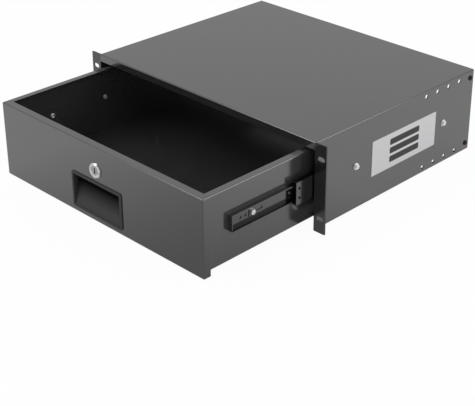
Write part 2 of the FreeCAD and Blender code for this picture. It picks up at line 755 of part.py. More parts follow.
# ---------------------------------------------------------------- drawer
def build_tray():
    """Drawer tray folded from one sheet, with inward rims along its sides and rear."""
    body = new_body("drawer_tray")
    half, inner = "panel_half", "panel_half - tray_sheet"
    rim = "panel_half - tray_rim"
    low, top = "tray_bottom", "panel_top"
    fold = new_sketch(body, "XZ", "0 - (tray_front)")
    add_loop(fold, [
        (f"0 - ({half})", low), (half, low), (half, top), (rim, top),
        (rim, f"{top} - tray_sheet"), (inner, f"{top} - tray_sheet"),
        (inner, f"{low} + tray_sheet"), (f"0 - ({inner})", f"{low} + tray_sheet"),
        (f"0 - ({inner})", f"{top} - tray_sheet"), (f"0 - ({rim})", f"{top} - tray_sheet"),
        (f"0 - ({rim})", top), (f"0 - ({half})", top),
    ])
    pad(body, fold, "tray_length", reverse=True)
    outer_x = value_of(half)
    outer_z = (value_of(low), value_of(top))
    round_edges(body, lambda a, b: abs(a.y - b.y) > 1 and abs(abs(a.x) - outer_x) < 1e-4
                and min(abs(a.z - z) for z in outer_z) < 1e-4, "fold_radius")
    front = new_sketch(body, "XZ", "0 - (tray_front)")
    add_loop(front, box_corners(f"0 - ({inner})", f"{low} + tray_sheet / 2", inner,
                                f"{top} - tray_sheet / 2"))
    pad(body, front, "tray_sheet", reverse=True)
    rear = new_sketch(body, "XZ", "0 - (tray_front + tray_length)")
    add_loop(rear, box_corners(f"0 - ({inner})", f"{low} + tray_sheet / 2", inner,
                               f"{top} - tray_sheet / 2"))
    pad(body, rear, "tray_sheet")
    rim_rear = new_sketch(body, "XZ", "0 - (tray_front + tray_length)")
    add_loop(rim_rear, box_corners(f"0 - ({inner})", f"{top} - tray_sheet", inner, top))
    pad(body, rim_rear, "tray_rim")
    holes = new_sketch(body, "YZ", "0")
    for index in range(3):
        add_circle(holes, f"member_front + tray_screw_front + {index} * tray_screw_pitch",
                   "slide_z", "screw_hole / 2 + 0.1")
    pocket(body, holes)
    lock = new_sketch(body, "XZ", "0 - (tray_front)")
    add_circle(lock, "0", "lock_z", "barrel_radius + 0.2")
    pocket(body, lock, "tray_sheet * 2", reverse=False, middle=True)
    return body


def build_front():
    """Front panel: a shallow folded pan, open to the rear."""
    body = new_body("drawer_front")
    half = "panel_half"
    outline = new_sketch(body, "XZ", "0 - (panel_face)")
    add_loop(outline, rounded_corners(f"0 - ({half})", "panel_bottom", half, "panel_top",
                                      "fold_radius"))
    pad(body, outline, "panel_return", reverse=True)
    face = value_of("panel_face")
    front = [f"Edge{number}" for number, edge in enumerate(body.Shape.Edges, start=1)
             if all(abs(vertex.Point.y - face) < 1e-4 for vertex in edge.Vertexes)]
    base = body.Tip
    soften = body.newObject("PartDesign::Fillet", "drawer_front_fold")
    soften.Base = (base, front)
    soften.setExpression("Radius", bind("fold_radius * 0.9"))
    settle(body, soften)
    inside = new_sketch(body, "XZ", "0 - (tray_front)")
    add_loop(inside, box_corners(f"0 - ({half} - panel_sheet)", "panel_bottom + panel_sheet",
                                 f"{half} - panel_sheet", "panel_top - panel_sheet"))
    pocket(body, inside, "panel_return - panel_sheet", reverse=True)
    openings = new_sketch(body, "XZ", "0 - (panel_face)")
    add_circle(openings, "0", "lock_z", "barrel_radius + 0.2")
    add_loop(openings, rounded_corners("0 - (cut_half_x)", "pull_mid - (cut_half_z)",
                                       "cut_half_x", "pull_mid + cut_half_z", "3"))
    pocket(body, openings, "panel_sheet * 4", middle=True)
    return body


def build_pull():
    """Recessed pull: a raised rim round a cup whose floor slopes out at the bottom."""
    body = new_body("recessed_pull")
    half_x, half_z = "pull_width / 2", "pull_height / 2"
    rim = new_sketch(body, "XZ", "pull_proud - (panel_face)")
    add_loop(rim, rounded_corners(f"0 - {half_x}", f"pull_mid - {half_z}", half_x,
                                  f"pull_mid + {half_z}", "pull_radius"))
    pad(body, rim, "pull_proud", reverse=True)
    face = value_of("panel_face - pull_proud")
    front = [f"Edge{number}" for number, edge in enumerate(body.Shape.Edges, start=1)
             if all(abs(vertex.Point.y - face) < 1e-4 for vertex in edge.Vertexes)]
    base = body.Tip
    soften = body.newObject("PartDesign::Fillet", "recessed_pull_edge")
    soften.Base = (base, front)
    soften.setExpression("Radius", bind("pull_proud * 0.5"))
    settle(body, soften)
    cup = new_sketch(body, "XZ", "0 - (panel_face)")
    fit = "pull_fit"
    add_loop(cup, rounded_corners(f"0 - (cut_half_x - {fit})", f"pull_mid - (cut_half_z - {fit})",
                                  f"cut_half_x - {fit}", f"pull_mid + cut_half_z - {fit}", "3"))
    pad(body, cup, "pull_depth", reverse=True)
    hollow = new_sketch(body, "YZ", "0")
    low = f"pull_mid - {half_z} + pull_rim"
    high = f"pull_mid + {half_z} - pull_rim"
    deep = "panel_face + pull_depth - pull_wall"
    front_y = "panel_face - pull_proud - 1"
    add_loop(hollow, [
        (front_y, low), ("panel_face - pull_proud * 0.5", low), (deep, f"{low} + pull_ramp"),
        (deep, high), (front_y, high),
    ])
    pocket(body, hollow, f"(pull_width / 2 - pull_rim) * 2", middle=True)
    return body


# ---------------------------------------------------------------- lock
def turned(label, start, corners):
    """A piece turned on the lock's axis, from (radius, distance behind start) corners."""
    body = new_body(label)
    sketch = new_sketch(body, "YZ")
    sketch.setExpression("AttachmentOffset.Base.y", bind("lock_z"))
    add_loop(sketch, [(f"{start} + ({back})", radius) for radius, back in corners])
    turn = body.newObject("PartDesign::Revolution", f"{label}_turn")
    turn.Profile = sketch
    turn.ReferenceAxis = (sketch, ["H_Axis"])
    turn.Angle = 360
    settle(body, turn)
    return body


def build_lock_housing():
    """Lock housing: a stepped bezel and a threaded barrel with two flats."""
    bore = "plug_radius + plug_gap"
    body = turned("lock_housing", "panel_face", [
        (bore, "0 - bezel_proud + 0.8"), ("bezel_radius - 3", "0 - bezel_proud"),
        ("bezel_radius - 1.2", "0 - bezel_proud"), ("bezel_radius", "0 - 1.2"),
        ("bezel_radius", "0"), ("barrel_radius", "0"), ("barrel_radius", "barrel_length"),
        (bore, "barrel_length"),
    ])
    flats = new_sketch(body, "XZ", "0 - (panel_face)")
    for side in (-1, 1):
        ends = (f"{side} * barrel_radius * 0.86", f"{side} * (barrel_radius + 1)")
        left, right = ends if side > 0 else ends[::-1]
        add_loop(flats, box_corners(left, "lock_z - barrel_radius - 1", right,
                                    "lock_z + barrel_radius + 1"))
    pocket(body, flats, "barrel_length + 1")
    return body


def build_lock_plug():
    """Key plug with an upright keyway and a square end for the cam."""
    body = turned("lock_plug", "panel_face", [
        ("0", "0 - bezel_proud + 1"), ("plug_radius", "0 - bezel_proud + 1"),
        ("plug_radius", "barrel_length + 0.2"), ("0", "barrel_length + 0.2"),
    ])
    square = new_sketch(body, "XZ", "0 - (panel_face + barrel_length)")
    half = "plug_radius * 0.55"
    add_loop(square, box_corners(f"0 - {half}", f"lock_z - {half}", half, f"lock_z + {half}"))
    pad(body, square, "0.3 + cam_thickness", reverse=True)
    keyway = new_sketch(body, "XZ", "0 - (panel_face)")
    add_loop(keyway, box_corners("0 - 1.1", "lock_z - plug_radius * 0.68", "1.1",
                                 "lock_z + plug_radius * 0.68"))
    pocket(body, keyway, "14", middle=True)
    return body


def build_lock_nut():
    """Hexagon nut that clamps the barrel behind the tray's front wall."""
    body = new_body("lock_nut")
    outline = new_sketch(body, "XZ", "0 - (tray_front + tray_sheet)")
    corner = "barrel_radius * 1.42"
    points = []
    for step in range(6):
        angle = math.radians(60 * step)
        points.append((f"{corner} * {math.cos(angle):.6f}",
                       f"lock_z + {corner} * {math.sin(angle):.6f}"))
    add_loop(outline, points)
    pad(body, outline, "nut_thickness", reverse=True)
    bore = new_sketch(body, "XZ", "0 - (tray_front)")
    add_circle(bore, "0", "lock_z", "barrel_radius")
    pocket(body, bore)
    return body


def build_cam():
    """Cam: a flat arm that lies level when unlocked and stands up behind the lip."""
    body = new_body("lock_cam")
    arm = new_sketch(body, "XZ", "0 - (cam_front)")
    half = "cam_width / 2"
    tip = "cam_reach - cam_width / 3"
    add_loop(arm, [
        ("0", f"lock_z - {half}"), (tip, f"lock_z - {half} * 0.8"),
        ("cam_reach", f"lock_z - {half} * 0.4"), ("cam_reach", f"lock_z + {half} * 0.4"),
        (tip, f"lock_z + {half} * 0.8"), ("0", f"lock_z + {half}", "0", "lock_z", 1),
    ])
    pad(body, arm, "cam_thickness", reverse=True)
    hole = new_sketch(body, "XZ", "0 - (cam_front)")
    side = "(plug_radius * 0.55)"
    add_loop(hole, box_corners(f"0 - {side}", f"lock_z - {side}", side, f"lock_z + {side}"))
    pocket(body, hole)
    return body


def build_cam_screw():
    """Rounded head that holds the cam on the plug's square end."""
    start = Vector(0, value_of("cam_front + cam_thickness"), value_of("lock_z"))
    head = Part.makeCylinder(value_of("plug_radius * 0.85"), value_of("plug_radius * 0.4"),
                             start, Vector(0, 1, 0))
    rim = [edge for edge in head.Edges if edge.BoundBox.YMin > start.y + 0.1]
    head = head.makeFillet(value_of("plug_radius * 0.2"), rim)
    return group("cam_screw", head.Solids)


# ---------------------------------------------------------------- keys
def key_place(index):
    """Where a key lies on the tray's floor, near the right front corner."""
    spread = value_of("key_head") * 1.4
    x = value_of("panel_half - tray_sheet") - spread * (0.8 + index)
    y = value_of("tray_front") + value_of("key_head") * 0.6
    turn = FreeCAD.Rotation(Vector(0, 0, 1), 14.0 - 26.0 * index)
    return FreeCAD.Placement(Vector(x, y, value_of("floor")), turn)


def build_keys():
    """Two keys and their ring, lying loose in the tray."""
    head, thick = value_of("key_head"), value_of("key_head_thick")
    length = value_of("key_blade_length")
    width, flat = value_of("key_blade_width"), value_of("key_blade_thick")
    level = (thick - flat) / 2
    heads, blades = [], []
    for index in range(2):
        blade = Part.makeBox(width, length + head / 2, flat,
                             Vector(-width / 2, head / 2, level))
        notches = [Part.makeCylinder(1.4, flat, Vector(width / 2, head + 5 + 4.4 * step, level))
                   for step in range(4)]
        blade = blade.cut(notches[0].multiFuse(notches[1:]))
        outline = Part.makeBox(head, head, thick, Vector(-head / 2, 0, 0))
        upright = [edge for edge in outline.Edges if edge.BoundBox.ZLength > thick / 2]
        outline = outline.makeFillet(head * 0.22, upright)
        eye = Part.makeCylinder(head * 0.14, thick, Vector(0, head * 0.24, 0))
        bow = outline.cut(eye).cut(blade)
        for solid, where in ((bow, heads), (blade, blades)):
            solid.Placement = key_place(index)
            where.append(solid)
    radius, wire = value_of("ring_radius"), value_of("ring_wire")
    beside = key_place(2).Base
    centre = beside + Vector(0, radius, 0)
    ring = Part.makeCylinder(radius + wire, wire * 2, centre)
    ring = ring.cut(Part.makeCylinder(radius - wire, wire * 2, centre))
    return [group("key_heads", heads), group("key_blades", blades),
            group("key_ring", [ring])]


# ---------------------------------------------------------------- build and export
pieces = [
    build_case_shell(),
    build_ear("left_ear", -1),
    build_ear("right_ear", 1),
    build_rear_rail("rear_top_rail", 1),
    build_rear_rail("rear_bottom_rail", -1),
    build_rail_screws(),
    build_number_plate(),
    build_tray(),
    build_front(),
    build_pull(),
    build_lock_housing(),
    build_lock_nut(),
    build_lock_plug(),
    build_cam(),
    build_cam_screw(),
]
for name, side in (("left", -1), ("right", 1)):
    pieces += [
        build_cabinet_member(f"{name}_cabinet_member", side),
        build_middle_member(f"{name}_middle_member", side),
        build_drawer_member(f"{name}_drawer_member", side),
        build_cage(f"{name}_outer_cage", side, "outer_cage_web", "outer_ball_up",
                   "outer_cage_front", "outer_cage_length"),
        build_balls(f"{name}_outer_balls", side, "outer_ball_up",
                    "outer_cage_front", "outer_cage_length"),
        build_cage(f"{name}_inner_cage", side, "inner_cage_web", "inner_ball_up",
                   "inner_cage_front", "inner_cage_length"),
        build_balls(f"{name}_inner_balls", side, "inner_ball_up",
                    "inner_cage_front", "inner_cage_length"),
        build_bumper(f"{name}_bumper", side),
    ]
pieces += build_case_fixings() + build_tray_fixings() + build_keys()

doc.recompute()
for item in doc.Objects:
    if "Invalid" in item.State or "Error" in item.State:
        raise RuntimeError(f"{item.Label} is not sound: {item.State}")
for piece in pieces:
    if piece.Shape.isNull() or not piece.Shape.isValid():
        raise RuntimeError(f"{piece.Label} has no valid shape")

os.makedirs("parts", exist_ok=True)
for piece in pieces:
    piece.Shape.exportStep(f"parts/{piece.Label}.step")
    print(f"{piece.Label}: {len(piece.Shape.Solids)} solids, {piece.Shape.Volume:.1f} mm3")
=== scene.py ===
"""Looks for a lockable rack drawer: paint, plating, plastic, small fasteners and stage.

Every length is in metres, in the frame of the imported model: X runs across the rack, Y from
the front to the rear, and Z up.
"""
import math

import bmesh
import bpy
from mathutils import Matrix, Vector


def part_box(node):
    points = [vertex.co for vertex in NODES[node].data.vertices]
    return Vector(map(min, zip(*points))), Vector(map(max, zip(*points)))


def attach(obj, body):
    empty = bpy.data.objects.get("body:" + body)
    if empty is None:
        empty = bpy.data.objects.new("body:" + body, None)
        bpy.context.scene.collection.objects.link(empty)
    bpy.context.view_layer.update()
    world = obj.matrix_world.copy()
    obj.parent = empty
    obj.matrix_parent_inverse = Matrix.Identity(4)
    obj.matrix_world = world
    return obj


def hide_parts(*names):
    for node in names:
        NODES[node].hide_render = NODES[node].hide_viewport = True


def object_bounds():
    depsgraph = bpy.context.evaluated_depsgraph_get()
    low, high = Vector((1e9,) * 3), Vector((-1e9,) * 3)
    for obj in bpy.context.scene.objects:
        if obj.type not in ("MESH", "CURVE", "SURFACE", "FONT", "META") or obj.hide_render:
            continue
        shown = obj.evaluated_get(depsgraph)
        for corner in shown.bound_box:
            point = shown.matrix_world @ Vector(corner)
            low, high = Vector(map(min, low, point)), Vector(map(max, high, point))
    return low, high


bl_info = {
    "name": "Rack Drawer Finishes",
    "version": (1, 0, 0),
    "blender": (4, 5, 0),
    "location": "View3D > Sidebar > Rack Drawer",
    "description": "Paint, plating, plastic, small fasteners and stage for a rack drawer",
    "category": "Object",
}

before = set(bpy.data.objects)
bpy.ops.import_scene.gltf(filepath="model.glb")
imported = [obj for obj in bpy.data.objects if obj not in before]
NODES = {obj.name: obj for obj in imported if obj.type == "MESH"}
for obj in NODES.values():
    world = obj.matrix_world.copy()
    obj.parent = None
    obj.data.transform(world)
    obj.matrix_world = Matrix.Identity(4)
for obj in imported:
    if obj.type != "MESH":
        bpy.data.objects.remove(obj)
CAD_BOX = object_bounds()
SIDES = ("left", "right")

# Camera's place, its turn about X, Y and Z in degrees, and its shift.
CAMERA_SPOT = (1.14303, -1.05147, 0.74210)
CAMERA_TURN = (65.0072, -0.5483, 43.3919)
CAMERA_SHIFT = (-0.0894, -0.1645)

# Lamps as name, place, size in metres and power in watts.
LAMPS = (
    ("key_lamp", (-0.9, -1.3, 1.5), 1.1, 9.0),
    ("rear_lamp", (1.4, 1.1, 0.9), 1.0, 6.0),
)


# ---------------------------------------------------------------- settings
class PaintSettings(bpy.types.PropertyGroup):
    """Powder coat on the sheet metal."""

    colour: bpy.props.FloatVectorProperty(
        name="Paint", description="Colour of the powder coat", subtype="COLOR",
        size=3, min=0, max=1, default=(0.021, 0.021, 0.0215))
    roughness: bpy.props.FloatProperty(
        name="Roughness", description="Spread of the paint's gloss",
        subtype="FACTOR", min=0, max=1, default=0.15)
    grain: bpy.props.FloatProperty(
        name="Grain", description="Width of one bump of the powder coat",
        unit="LENGTH", min=0.0001, max=0.01, default=0.0007)


class MetalSettings(bpy.types.PropertyGroup):
    """Bare and plated metal."""

    slide_colour: bpy.props.FloatVectorProperty(
        name="Slides", description="Colour of the slides' black coat", subtype="COLOR",
        size=3, min=0, max=1, default=(0.008, 0.008, 0.0085))
    zinc_colour: bpy.props.FloatVectorProperty(
        name="Zinc", description="Colour of the zinc-plated fasteners", subtype="COLOR",
        size=3, min=0, max=1, default=(0.88, 0.88, 0.89))
    plate_colour: bpy.props.FloatVectorProperty(
        name="Plate", description="Colour of the brushed side plate", subtype="COLOR",
        size=3, min=0, max=1, default=(0.66, 0.66, 0.67))
    chrome_colour: bpy.props.FloatVectorProperty(
        name="Lock", description="Colour of the plated lock and keys", subtype="COLOR",
        size=3, min=0, max=1, default=(0.72, 0.72, 0.73))


class PlasticSettings(bpy.types.PropertyGroup):
    """Moulded plastic."""

    pull_colour: bpy.props.FloatVectorProperty(
        name="Pull", description="Colour of the recessed pull", subtype="COLOR",
        size=3, min=0, max=1, default=(0.03, 0.03, 0.0305))
    key_colour: bpy.props.FloatVectorProperty(
        name="Key heads", description="Colour of the keys' heads", subtype="COLOR",
        size=3, min=0, max=1, default=(0.02, 0.02, 0.021))
    bumper_colour: bpy.props.FloatVectorProperty(
        name="Bumpers", description="Colour of the slides' bumpers", subtype="COLOR",
        size=3, min=0, max=1, default=(0.03, 0.03, 0.031))


class PieceSettings(bpy.types.PropertyGroup):
    """Small pieces that are built here."""

    bar_share: bpy.props.FloatProperty(
        name="Bar length", description="Length of a plate bar as a share of the plate",
        subtype="FACTOR", min=0.1, max=0.9, default=0.46)
    bar_count: bpy.props.IntProperty(
        name="Bars", description="Bars on the side plate", min=1, max=6, default=3)
    thread_pitch: bpy.props.FloatProperty(
        name="Thread pitch", description="Distance between two turns of a screw thread",
        unit="LENGTH", min=0.0003, max=0.003, default=0.0007)
    ball_rings: bpy.props.IntProperty(
        name="Ball rings", description="Rings of faces on a bearing ball",
        min=4, max=32, default=10)


class StageSettings(bpy.types.PropertyGroup):
    """Floor, lamps and camera."""

    lens: bpy.props.FloatProperty(
        name="Lens", description="Focal length of the camera, in millimetres",
        min=20, max=200, default=90.2)
    floor_size: bpy.props.FloatProperty(
        name="Floor", description="Width of the floor", unit="LENGTH",
        min=1, max=40, default=16)
    white_share: bpy.props.FloatProperty(
        name="White floor", description="Share of the floor that is white without its shadow",
        subtype="FACTOR", min=0, max=1, default=0.96)
    mirror_share: bpy.props.FloatProperty(
        name="Mirrored floor", description="Share of the floor's glow that glossy paint mirrors",
        subtype="FACTOR", min=0, max=1, default=0.62)
    # Painted shade in reflections: the floor's glow for glossy rays is painted darkest at this
    # spot.
    painted_shade_spot: bpy.props.FloatVectorProperty(
        name="Dark corner", description="Spot of the floor that mirrors darkest",
        subtype="TRANSLATION", unit="LENGTH", size=3, default=(0.2, -0.31, -0.066))
    world_strength: bpy.props.FloatProperty(
        name="World", description="Strength of the light from all round",
        min=0, max=3, default=0.85)
    sky_strength: bpy.props.FloatProperty(
        name="Mirrored sky", description="Strength of the same light as glossy paint mirrors it",
        min=0, max=3, default=0.68)


# ---------------------------------------------------------------- node helpers
def place(nodes, kind, x, y, **values):
    """A new node at a spot of the graph, with its input values set."""
    node = nodes.new(kind)
    node.location = (x, y)
    for name, value in values.items():
        node.inputs[name.replace("_", " ")].default_value = value
    return node


def math_node(tree, operation, x, y, first, second=None, clamp=False):
    """A Math node fed by sockets or numbers, returning its result."""
    node = tree.nodes.new("ShaderNodeMath")
    node.operation = operation
    node.use_clamp = clamp
    node.location = (x, y)
    for index, source in enumerate((first, second)):
        if isinstance(source, bpy.types.NodeSocket):
            tree.links.new(source, node.inputs[index])
        elif source is not None:
            node.inputs[index].default_value = source
    return node.outputs[0]


def new_group(name, inputs, outputs):
    """An empty shader node group with number inputs and named outputs."""
    tree = bpy.data.node_groups.new(name, "ShaderNodeTree")
    for label, default in inputs:
        socket = tree.interface.new_socket(
            name=label, in_out="INPUT", socket_type="NodeSocketFloat")
        socket.default_value = default
    for label, kind in outputs:
        tree.interface.new_socket(name=label, in_out="OUTPUT", socket_type=kind)
    enter = tree.nodes.new("NodeGroupInput")
    enter.location = (-900, 0)
    leave = tree.nodes.new("NodeGroupOutput")
    leave.location = (700, 0)
    return tree, enter.outputs, leave.inputs


def grain_group():
    """Fine pebbled grain of a coat or a moulding, with slow changes in its gloss."""
    found = bpy.data.node_groups.get("fine_grain")
    if found:
        return found
    tree, given, result = new_group(
        "fine_grain",
        [("Grain width", 0.0007), ("Roughness", 0.35), ("Gloss change", 0.05)],
        [("Height", "NodeSocketFloat"), ("Roughness", "NodeSocketFloat"),
         ("Mottle", "NodeSocketFloat")])
    where = place(tree.nodes, "ShaderNodeTexCoord", -900, -300).outputs["Object"]
    pebble = place(tree.nodes, "ShaderNodeTexNoise", -400, 200, Detail=2.0, Roughness=0.5)
    tree.links.new(where, pebble.inputs["Vector"])
    tree.links.new(math_node(tree, "DIVIDE", -620, 150, 1.0, given["Grain width"]),
                   pebble.inputs["Scale"])
    patch = place(tree.nodes, "ShaderNodeTexNoise", -400, -200, Scale=14.0, Detail=3.0)
    tree.links.new(where, patch.inputs["Vector"])
    centred = math_node(tree, "SUBTRACT", -200, -200, patch.outputs["Fac"], 0.5)
    shift = math_node(tree, "MULTIPLY", 0, -200, centred, given["Gloss change"])
    tree.links.new(pebble.outputs["Fac"], result["Height"])
    tree.links.new(math_node(tree, "ADD", 200, -200, given["Roughness"], shift, clamp=True),
                   result["Roughness"])
    tree.links.new(patch.outputs["Fac"], result["Mottle"])
    return tree


def streak_group():
    """Straight brush marks that run along Y."""
    found = bpy.data.node_groups.get("brush_marks")
    if found:
        return found
    tree, given, result = new_group(
        "brush_marks",
        [("Streak width", 0.0004), ("Streak length", 0.05), ("Roughness", 0.3),
         ("Gloss change", 0.12)],
        [("Height", "NodeSocketFloat"), ("Roughness", "NodeSocketFloat"),
         ("Tone", "NodeSocketFloat")])
    where = place(tree.nodes, "ShaderNodeTexCoord", -1100, -300).outputs["Object"]
    across = math_node(tree, "DIVIDE", -700, 200, 1.0, given["Streak width"])
    along = math_node(tree, "DIVIDE", -700, 0, 1.0, given["Streak length"])
    scale = tree.nodes.new("ShaderNodeCombineXYZ")
    scale.location = (-500, 100)
    tree.links.new(across, scale.inputs["X"])
    tree.links.new(along, scale.inputs["Y"])
    tree.links.new(across, scale.inputs["Z"])
    stretch = tree.nodes.new("ShaderNodeVectorMath")
    stretch.operation = "MULTIPLY"
    stretch.location = (-300, 0)
    tree.links.new(where, stretch.inputs[0])
    tree.links.new(scale.outputs["Vector"], stretch.inputs[1])
    marks = place(tree.nodes, "ShaderNodeTexNoise", -100, 0, Scale=1.0, Detail=4.0)
    tree.links.new(stretch.outputs["Vector"], marks.inputs["Vector"])
    centred = math_node(tree, "SUBTRACT", 100, -150, marks.outputs["Fac"], 0.5)
    shift = math_node(tree, "MULTIPLY", 250, -150, centred, given["Gloss change"])
    tree.links.new(marks.outputs["Fac"], result["Height"])
    tree.links.new(math_node(tree, "ADD", 400, -150, given["Roughness"], shift, clamp=True),
                   result["Roughness"])
    tree.links.new(marks.outputs["Fac"], result["Tone"])
    return tree


def use_group(tree, group, x, y, **values):
    """One use of a shared group in a material, with its own values."""
    node = tree.nodes.new("ShaderNodeGroup")
    node.node_tree = group
    node.location = (x, y)
    for name, value in values.items():
        node.inputs[name.replace("_", " ")].default_value = value
    return node


def shaded_colour(tree, mask, colour, low, high, x, y):
    """The colour made darker and lighter by a mask, between two shares of itself."""
    ramp = tree.nodes.new("ShaderNodeMix")
    ramp.data_type = "RGBA"
    ramp.location = (x, y)
    tree.links.new(mask, ramp.inputs["Factor"])
    ramp.inputs["A"].default_value = [channel * low for channel in colour] + [1]
    ramp.inputs["B"].default_value = [channel * high for channel in colour] + [1]
    return ramp.outputs["Result"]


def grained_material(name, colour, roughness, grain=0.0007, depth=0.00002,
                     gloss_change=0.05, tone_change=0.08, metallic=0.0, specular=0.5,
                     ior=1.5):
    """Painted, plated or moulded finish with a fine grain."""
    found = bpy.data.materials.get(name)
    if found:
        return found
    material = bpy.data.materials.new(name)
    material.use_nodes = True
    tree = material.node_tree
    shader = tree.nodes["Principled BSDF"]
    shader.inputs["Metallic"].default_value = metallic
    shader.inputs["Specular IOR Level"].default_value = specular
    shader.inputs["IOR"].default_value = ior
    grain_node = use_group(tree, grain_group(), -700, 0, Grain_width=grain,
                           Roughness=roughness, Gloss_change=gloss_change)
    tone = shaded_colour(tree, grain_node.outputs["Mottle"], colour,
                         1 - tone_change, 1 + tone_change, -300, 300)
    tree.links.new(tone, shader.inputs["Base Color"])
    tree.links.new(grain_node.outputs["Roughness"], shader.inputs["Roughness"])
    bump = place(tree.nodes, "ShaderNodeBump", -300, -200, Strength=0.5, Distance=depth)
    tree.links.new(grain_node.outputs["Height"], bump.inputs["Height"])
    tree.links.new(bump.outputs["Normal"], shader.inputs["Normal"])
    return material


def recess_painted_shade_group():
    """Mask for painted shade in a recess: falls from 1 at a face to 0 at a depth along Y behind
    it.
    """
    found = bpy.data.node_groups.get("recess_depth_painted_shade")
    if found:
        return found
    tree, given, result = new_group(
        "recess_depth_painted_shade", [("Face", 0.0), ("Depth", 0.01)], [("Mask", "NodeSocketFloat")])
    where = place(tree.nodes, "ShaderNodeTexCoord", -900, -300).outputs["Object"]
    split = tree.nodes.new("ShaderNodeSeparateXYZ")
    split.location = (-700, -300)
    tree.links.new(where, split.inputs["Vector"])
    behind = math_node(tree, "SUBTRACT", -400, 0, split.outputs["Y"], given["Face"])
    share = math_node(tree, "DIVIDE", -200, 0, behind, given["Depth"], clamp=True)
    tree.links.new(math_node(tree, "SUBTRACT", 0, 0, 1.0, share), result["Mask"])
    return tree


def painted_level_shade_group():
    """Mask for painted shade on level faces: 1 on upright faces, falling to its least on level
    ones.
    """
    found = bpy.data.node_groups.get("level_faces_painted_shade")
    if found:
        return found
    tree, given, result = new_group(
        "level_faces_painted_shade", [("Least", 0.3)], [("Mask", "NodeSocketFloat")])
    split = tree.nodes.new("ShaderNodeSeparateXYZ")
    split.location = (-700, -300)
    tree.links.new(place(tree.nodes, "ShaderNodeNewGeometry", -900, -300).outputs["Normal"],
                   split.inputs["Vector"])
    level = math_node(tree, "ABSOLUTE", -500, -300, split.outputs["Z"])
    upright = math_node(tree, "SUBTRACT", -300, -300, 1.0, level)
    tree.links.new(math_node(tree, "MAXIMUM", 0, 0, upright, given["Least"]), result["Mask"])
    return tree


def paint_shade_by_mask(material, group, colour, least, **values):
    """Paint shade on a material: darken its gloss and colour by a shared group's mask."""
    tree = material.node_tree
    shader = tree.nodes["Principled BSDF"]
    mask = use_group(tree, group, -700, -500, **values).outputs["Mask"]
    gloss = shader.inputs["Specular IOR Level"].default_value
    tree.links.new(math_node(tree, "MULTIPLY", -300, -500, mask, gloss),
                   shader.inputs["Specular IOR Level"])
    tree.links.new(shaded_colour(tree, mask, colour, least, 1.0, -300, 500),
                   shader.inputs["Base Color"])


def brushed_material(name, colour, roughness, width=0.0004, length=0.05, depth=0.00001,
                     tone_change=0.18):
    """Bare metal brushed along Y."""
    found = bpy.data.materials.get(name)
    if found:
        return found
    material = bpy.data.materials.new(name)
    material.use_nodes = True
    tree = material.node_tree
    shader = tree.nodes["Principled BSDF"]
    shader.inputs["Metallic"].default_value = 1.0
    marks = use_group(tree, streak_group(), -700, 0, Streak_width=width,
                      Streak_length=length, Roughness=roughness)
    tone = shaded_colour(tree, marks.outputs["Tone"], colour,
                         1 - tone_change, 1 + tone_change, -300, 300)
    tree.links.new(tone, shader.inputs["Base Color"])
    tree.links.new(marks.outputs["Roughness"], shader.inputs["Roughness"])
    bump = place(tree.nodes, "ShaderNodeBump", -300, -200, Strength=0.4, Distance=depth)
    tree.links.new(marks.outputs["Height"], bump.inputs["Height"])
    tree.links.new(bump.outputs["Normal"], shader.inputs["Normal"])
    return material


def coat_material(name, share, specular=1.0, ior=1.7):
    """Powder coat in a share of the paint's colour; a share other than 1 gives a lighter or
    darker copy as painted light or shade.
    """
    paint = bpy.context.scene.rack_paint
    colour = [channel * share for channel in paint.colour]
    return grained_material(name, colour, paint.roughness, grain=paint.grain, depth=0.000003,
                            gloss_change=0.03, specular=specular, ior=ior)


def zinc_material():
    """Bright zinc plating."""
    return grained_material("zinc_plating", bpy.context.scene.rack_metal.zinc_colour, 0.42,
                            grain=0.0004, metallic=1.0)


def chrome_material():
    """Bright nickel plating."""
    return grained_material("nickel_plating", bpy.context.scene.rack_metal.chrome_colour, 0.16,
                            grain=0.0006, depth=0.000004, metallic=1.0)


def finish(nodes, material):
    """Give CAD nodes one material."""
    for name in nodes:
        slots = NODES[name].material_slots
        for slot in slots:
            slot.material = material
        if not slots:
            NODES[name].data.materials.append(material)


# ---------------------------------------------------------------- mesh helpers
def loose_boxes(name):
    """Lowest and highest corner of each loose piece in a CAD node, in order along Y."""
    mesh = bmesh.new()
    mesh.from_mesh(NODES[name].data)
    bmesh.ops.remove_doubles(mesh, verts=mesh.verts, dist=1e-6)
    waiting = set(mesh.verts)
    boxes = []
    while waiting:
        front = [waiting.pop()]
        piece = []
        while front:
            vertex = front.pop()
            piece.append(vertex.co.copy())
            for link in vertex.link_edges:
                other = link.other_vert(vertex)
                if other in waiting:
                    waiting.discard(other)
                    front.append(other)
        low = Vector([min(point[axis] for point in piece) for axis in range(3)])
        high = Vector([max(point[axis] for point in piece) for axis in range(3)])
        boxes.append((low, high))
    mesh.free()
    return sorted(boxes, key=lambda box: (round(box[0].y, 4), round(box[0].x, 4), box[0].z))


def new_piece(name, mesh, material, body, smooth=True):
    """A bmesh turned into an object that rides on a body."""
    bmesh.ops.recalc_face_normals(mesh, faces=mesh.faces)
    data = bpy.data.meshes.new(name)
    mesh.to_mesh(data)
    mesh.free()
    piece = bpy.data.objects.new(name, data)
    bpy.context.scene.collection.objects.link(piece)
    data.materials.append(material)
    if smooth:
        data.shade_smooth()
        data.set_sharp_from_angle(angle=math.radians(35))
    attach(piece, body)
    return piece


